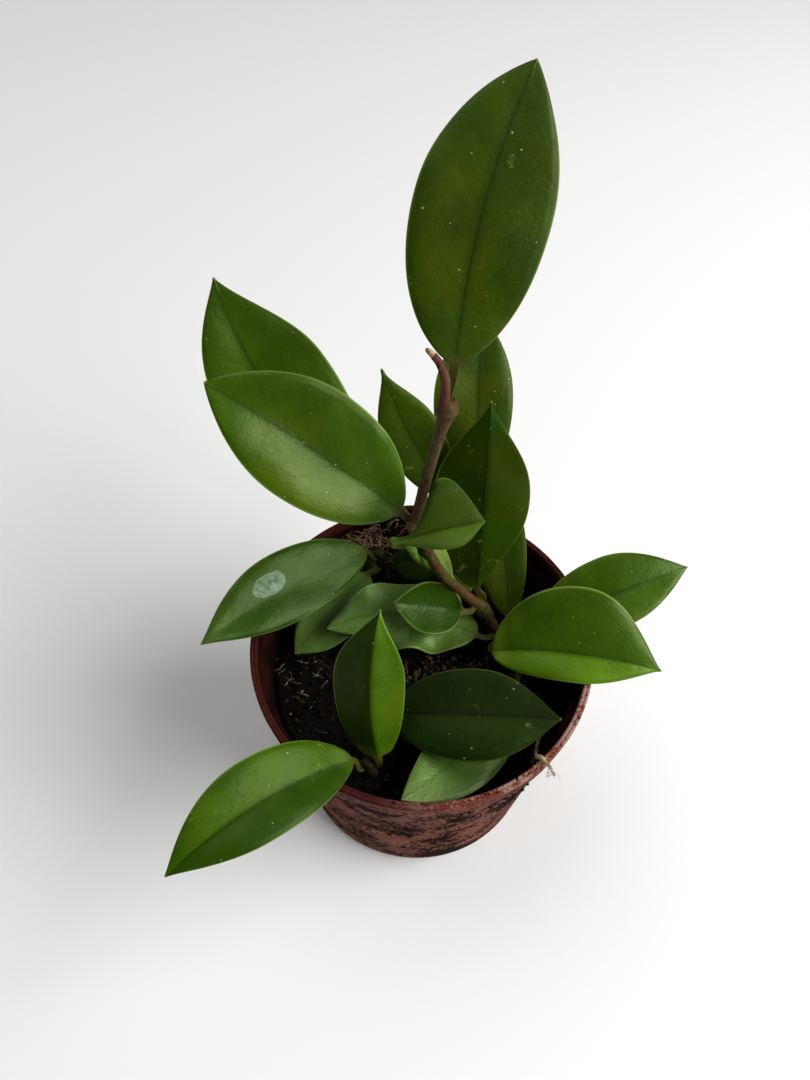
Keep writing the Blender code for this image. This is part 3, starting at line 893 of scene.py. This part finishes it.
def build_stems():
    """The woody main stem with its withered tip, the green side shoot and the short stems."""
    bark = bark_material("brown_bark", (82, 54, 26), (48, 30, 15), (70, 66, 20))
    maroon = bark_material("maroon_shoot", (82, 36, 30), (56, 24, 20), (88, 54, 34))
    fresh = bark_material("green_shoot", (84, 116, 28), (76, 106, 24), (94, 128, 38), .1)
    shady = bark_material("shaded_bark", (42, 34, 16), (26, 18, 10), (38, 42, 12))
    tan = fibre_material("withered_tip", (190, 164, 118), (120, 84, 52))
    parts = [tube("main_stem_wood", stem_path(STEMS["main_stem"], 8, .07, 3), 16)]
    for z, grow in MAIN_STEM_RINGS:
        parts.append(scar_ring("main_stem", z, grow))
    for z, turn, size in MAIN_STEM_BUDS:
        centre, radius, axis = stem_at("main_stem", z)
        a = math.radians(turn)
        out = np.array((math.cos(a), math.sin(a), .2))
        parts.append(knob(centre + out * radius, size, .7, out))
    wood = join("main_stem_wood", parts)
    set_material(wood, bark)
    piece(wood, "main_stem", slot="stem")
    plain_tube("shoot_tip", stem_path(SHOOT_TIP[:6], 6, .10, 9), 12, maroon, slot="stem")
    plain_tube("shoot_tip_dry", stem_path(SHOOT_TIP[5:], 6, .4, 5), 12, tan, slot="root")
    plain_tube("side_shoot_green", stem_path(STEMS["side_shoot"], 8, .02, 1), 16, fresh,
               "side_shoot", slot="green_shoot")
    for name in ("front_stem", "back_left_stem", "back_stem", "right_stem"):
        plain_tube(name + "_wood", stem_path(STEMS[name], 8, .12, len(name)), 16, shady,
                   name, slot="stem")


ROOT_HAIRS = 26
FIRST_HAIR = 14          # the point of the root's path where hairs begin


def build_root():
    """A dry root that climbs out over the rim, with a knot and fine hairs."""
    dry = fibre_material("dry_root_fibre", (186, 160, 122), (122, 92, 60))
    path = stem_path(DRY_ROOT, 8, .5, 2)
    parts = [tube("root", path, 12)]
    for _ in range(ROOT_HAIRS):
        p = path[rng.randrange(FIRST_HAIR, len(path))]
        here = Vector(p[:3])
        hair = [(*here, .12)]
        way = Vector((rng.uniform(-1, 1), rng.uniform(-1, .4), rng.uniform(-.8, .6)))
        for _ in range(4):
            way += Vector((rng.uniform(-.5, .5), rng.uniform(-.5, .5), rng.uniform(-.7, .1)))
            here = here + way.normalized() * rng.uniform(.7, 1.3)
            hair.append((*here, .07))
        parts.append(tube("hair", spline(hair, 2), 4))
    parts.append(knob(path[len(path) * 3 // 5][:3], 1.1, .8, (.4, .6, .6)))
    ob = join("dry_root_strands", parts)
    set_material(ob, dry)
    piece(ob, "dry_root", slot="root")


# -------------------- pot and soil

def outer_wall_r(z):
    """Radius of the tapered wall's outside at a height."""
    return FOOT_R + (TOP_WALL_R - FOOT_R) * z / (POT_H - COLLAR_H)


def collar_inner_r(z):
    """Radius of the collar's inner wall at a height."""
    low, high = POT_H - COLLAR_H + 2.9, POT_H - .5
    return COLLAR_R - WALL - .1 + (z - low) / (high - low) * .2


def pot_profile():
    """(r, z) from the middle of the floor, up the inside, over the lip and down outside."""
    shelf = POT_H - COLLAR_H
    floor = CHANNEL_H + WALL
    inner_foot = FOOT_R - WALL
    inside = [(.4, WALL), (FOOT_PAD_R - 1.6, WALL), (FOOT_PAD_R + 1, floor),
              (inner_foot - .4, floor), (inner_foot + 1, floor + 1)]
    inner_top = TOP_WALL_R - WALL
    for u in (.25, .5, .75):
        inside.append((inner_foot + 1 + (inner_top - inner_foot - 1) * u,
                       floor + 1 + (shelf + .5 - floor) * u))
    inside += [(inner_top, shelf + 1.2), (inner_top + .25, shelf + 1.5),
               (inner_top + 1.1, shelf + 1.7), (collar_inner_r(shelf) - .5, shelf + 2.2),
               (collar_inner_r(shelf), shelf + 2.9),
               (collar_inner_r(POT_H - 4), POT_H - 4), (collar_inner_r(POT_H - .5), POT_H - .6)]
    lip = [(RIM_R - 2.2, POT_H - .15), (RIM_R - 1.85, POT_H), (RIM_R - 1.5, POT_H - .1),
           (RIM_R - 1.25, POT_H - .28), (RIM_R - 1.0, POT_H - .1), (RIM_R - .6, POT_H),
           (RIM_R - .2, POT_H - .2), (RIM_R, POT_H - .6), (RIM_R, POT_H - LIP_H + .7),
           (RIM_R - .25, POT_H - LIP_H + .25), (COLLAR_R + .3, POT_H - LIP_H)]
    outside = [(COLLAR_R + .1, POT_H - 6), (COLLAR_R - .05, shelf + 1.9),
               (COLLAR_R - .5, shelf + 1.2), (TOP_WALL_R + .5, shelf + .2),
               (TOP_WALL_R, shelf - .5)]
    for u in (.8, .6, .4, .2):
        outside.append((FOOT_R + (TOP_WALL_R - FOOT_R) * u, 1 + (shelf - 1) * u))
    outside += [(FOOT_R, 1.2), (FOOT_R - .3, .4), (FOOT_R - 1, 0)]
    under = [(CHANNEL_R + 1.5, 0), (CHANNEL_R, CHANNEL_H), (FOOT_PAD_R, CHANNEL_H),
             (FOOT_PAD_R - 1.5, 0), (.4, 0)]
    return inside + lip + outside + under


def cut_away(ob, tool):
    """Cuts one shape out of a piece and removes the shape."""
    mod = ob.modifiers.new("cut", "BOOLEAN")
    mod.operation, mod.object = "DIFFERENCE", tool
    apply_all(ob)
    bpy.data.objects.remove(tool, do_unlink=True)


def polar(radius, turn, z):
    """A place in metres from a radius, a direction in radians and a height."""
    return radius * MM * math.cos(turn), radius * MM * math.sin(turn), z * MM


def build_pot():
    """The turned pot with its drain holes and the blind notch inside the collar."""
    pot = turned("nursery_pot", pot_profile(), 160)
    for k in range(DRAIN_COUNT):
        deselect_all()
        bpy.ops.mesh.primitive_cylinder_add(
            vertices=28, radius=DRAIN_R * MM, depth=10 * MM,
            location=polar(DRAIN_RING_R, 2 * math.pi * (k + .53) / DRAIN_COUNT, 4))
        cut_away(pot, bpy.context.object)
    turn = math.radians(NOTCH_ANGLE)
    reach = collar_inner_r(NOTCH_Z) + NOTCH_DEPTH - NOTCH_SIZE[0] / 2
    deselect_all()
    bpy.ops.mesh.primitive_cube_add(size=MM, rotation=(0, 0, turn), scale=NOTCH_SIZE,
                                    location=polar(reach, turn, NOTCH_Z))
    cut_away(pot, bpy.context.object)
    select_only(pot)
    bpy.ops.object.shade_smooth_by_angle(angle=math.radians(38))
    set_material(pot, pot_material())
    piece(pot, "pot", slot="pot")


def soil_height(x, y):
    """Height of the soil's surface: broad humps with finer clods on them."""
    waves = math.sin(x * .31 + 1.3) * math.cos(y * .27 - .4) + .6 * math.sin(x * .11 - y * .53)
    clods = noise.noise(Vector((x, y, 0)) * .22) * 1.3 + noise.noise(Vector((x, y, 5)) * .6) * .7
    return SOIL_Z + waves + .02 * y + clods


def build_soil():
    """The peat body: a turned plug that fills the pot, with an uneven top."""
    top_r = FOOT_R - WALL + .6 + (TOP_WALL_R - FOOT_R - 1) * .85
    over_floor = CHANNEL_H + WALL + SOIL_GAP
    over_pad = WALL + SOIL_GAP
    rings = [(r, SOIL_Z) for r in np.linspace(.5, top_r - .8, 56)]
    profile = rings + [(top_r, SOIL_Z - 2.5), (FOOT_R - WALL + .4, over_floor + 1.3),
                       (FOOT_R - WALL - 1, over_floor), (FOOT_PAD_R + .8, over_floor),
                       (FOOT_PAD_R - 2.4, over_pad), (.5, over_pad)]
    soil = turned("soil_body", profile, 180)
    for v in soil.data.vertices:
        if v.co.z > (SOIL_Z - .1) * MM:
            v.co.z = soil_height(v.co.x / MM, v.co.y / MM) * MM
    select_only(soil)
    bpy.ops.object.shade_smooth()
    set_material(soil, soil_material())
    piece(soil, "soil", slot="soil")


def scatter(name, count, radius_range, place, mat):
    """Crumbs: small rough stones, each turned and stretched its own way, in one piece."""
    parts = []
    for _ in range(count):
        size = rng.uniform(*radius_range)
        x, y, z = place(size)
        deselect_all()
        bpy.ops.mesh.primitive_ico_sphere_add(subdivisions=1, radius=size * MM)
        ob = bpy.context.object
        for v in ob.data.vertices:
            v.co *= rng.uniform(.7, 1.2)
        ob.scale = (rng.uniform(.6, 1.5), rng.uniform(.6, 1.2), rng.uniform(.5, 1))
        ob.rotation_euler = [rng.uniform(0, 6.28) for _ in range(3)]
        ob.location = Vector((x, y, z)) * MM
        parts.append(ob)
    for ob in parts:
        ob.select_set(True)
    bpy.context.view_layer.objects.active = parts[0]
    bpy.ops.object.transform_apply(location=True, rotation=True, scale=True)
    crumbs = join(name, parts)
    set_material(crumbs, mat)
    piece(crumbs, slot="soil")


def anywhere_on_soil(reach, lift):
    """A random place on the soil's disc, lifted off its surface."""
    turn, far = rng.uniform(0, 2 * math.pi), reach * math.sqrt(rng.random())
    x, y = far * math.cos(turn), far * math.sin(turn)
    return x, y, soil_height(x, y) + lift


def on_soil(size):
    return anywhere_on_soil(52, size * .3)


def on_outer_wall(size):
    """Crumbs stuck low on the right of the pot's front, thickest under the rim."""
    turn = math.radians(rng.gauss(-52, 16))
    z = POT_H - 14 - abs(rng.gauss(0, 16))
    radius = outer_wall_r(z) + size * .4
    return radius * math.cos(turn), radius * math.sin(turn), z


def on_lip(size):
    """Crumbs on the lip, most of them at the front right."""
    turn = math.radians(rng.uniform(-75, 10) if rng.random() < .7 else rng.uniform(150, 320))
    radius = RIM_R - rng.uniform(.4, 2.2)
    return radius * math.cos(turn), radius * math.sin(turn), POT_H - .1 + size * .4


def fibres(name, count, spot, reach, radius, mat):
    """Fine plant fibres that wander over a surface, joined in one piece."""
    parts = []
    for _ in range(count):
        x, y, z = spot()
        way = rng.uniform(0, 2 * math.pi)
        rise = rng.uniform(-.1, .5)
        line = []
        for _ in range(6):
            line.append((x, y, z, radius * rng.uniform(.6, 1.3)))
            way += rng.uniform(-.8, .8)
            step = reach / 5 * rng.uniform(.6, 1.3)
            x, y, z = x + step * math.cos(way), y + step * math.sin(way), z + step * rise
            rise -= rng.uniform(0, .35)
        parts.append(tube("fibre", line, 4))
    ob = join(name, parts)
    set_material(ob, mat)
    piece(ob, slot="soil")


def soil_spot():
    return anywhere_on_soil(50, .4)


def moss_spot():
    """The fibrous mat that climbs the wall at the back left."""
    turn, z = math.radians(rng.gauss(117, 12)), SOIL_Z + rng.uniform(0, 19)
    radius = min(outer_wall_r(z), TOP_WALL_R) - WALL - rng.uniform(.5, 2.5)
    return radius * math.cos(turn), radius * math.sin(turn), min(z, POT_H - 4)


def clod_spot(size):
    """Brown lumps in front of the stem's foot."""
    x, y = rng.gauss(9, 11), rng.gauss(-2, 5)
    return x, y, soil_height(x, y) + size * .4


def thread_spot():
    """Pale threads lying on the soil at the left."""
    x, y = rng.gauss(-44, 5), rng.gauss(-6, 6)
    return x, y, soil_height(x, y) + .6


def build_litter():
    """Loose crumbs and fibres, in the order in which they draw their random places."""
    scatter("soil_crumbs", 520, (.4, 1.5), on_soil, soil_material("peat_crumbs", 1.3))
    scatter("brown_crumbs", 260, (.3, 1.3), on_soil, soil_material("bark_crumbs", 3.2))
    bits = fibre_material("bark_bits", (120, 94, 64), (66, 48, 32))
    scatter("pale_bits", 60, (.2, .8), on_soil, bits)
    scatter("wall_crumbs", 90, (.2, .9), on_outer_wall, soil_material("dried_mud", 2.6))
    scatter("lip_crumbs", 40, (.2, .6), on_lip, soil_material("lip_mud", 1.8))
    scatter("brown_clods", 170, (.4, 1.4), clod_spot, soil_material("bark_clods", 4.4))
    threads = fibre_material("pale_thread", (186, 176, 156), (120, 108, 90))
    fibres("pale_threads", 14, thread_spot, 6, .08, threads)
    straw = fibre_material("peat_fibre", (128, 102, 72), (64, 46, 30))
    fibres("soil_fibres", 70, soil_spot, 7, .09, straw)
    moss = fibre_material("moss_fibre", (158, 130, 94), (84, 62, 42))
    fibres("moss_mat", 240, moss_spot, 7, .17, moss)


# -------------------- build

LEAF_MATERIALS = {name: (leaf_top_material(name, tone), leaf_under_material(name, tone))
                  for name, tone in TONES.items()}
LEAF_MATERIALS["scarred"] = (leaf_top_material("scarred", TONES["deep"], True),
                             LEAF_MATERIALS["mature"][1])

build_stage()
build_camera()
build_pot()
build_soil()
build_litter()
build_stems()
build_root()
for number, (name, leaf) in enumerate(LEAVES.items()):
    build_leaf(name, leaf, number * 1.7)
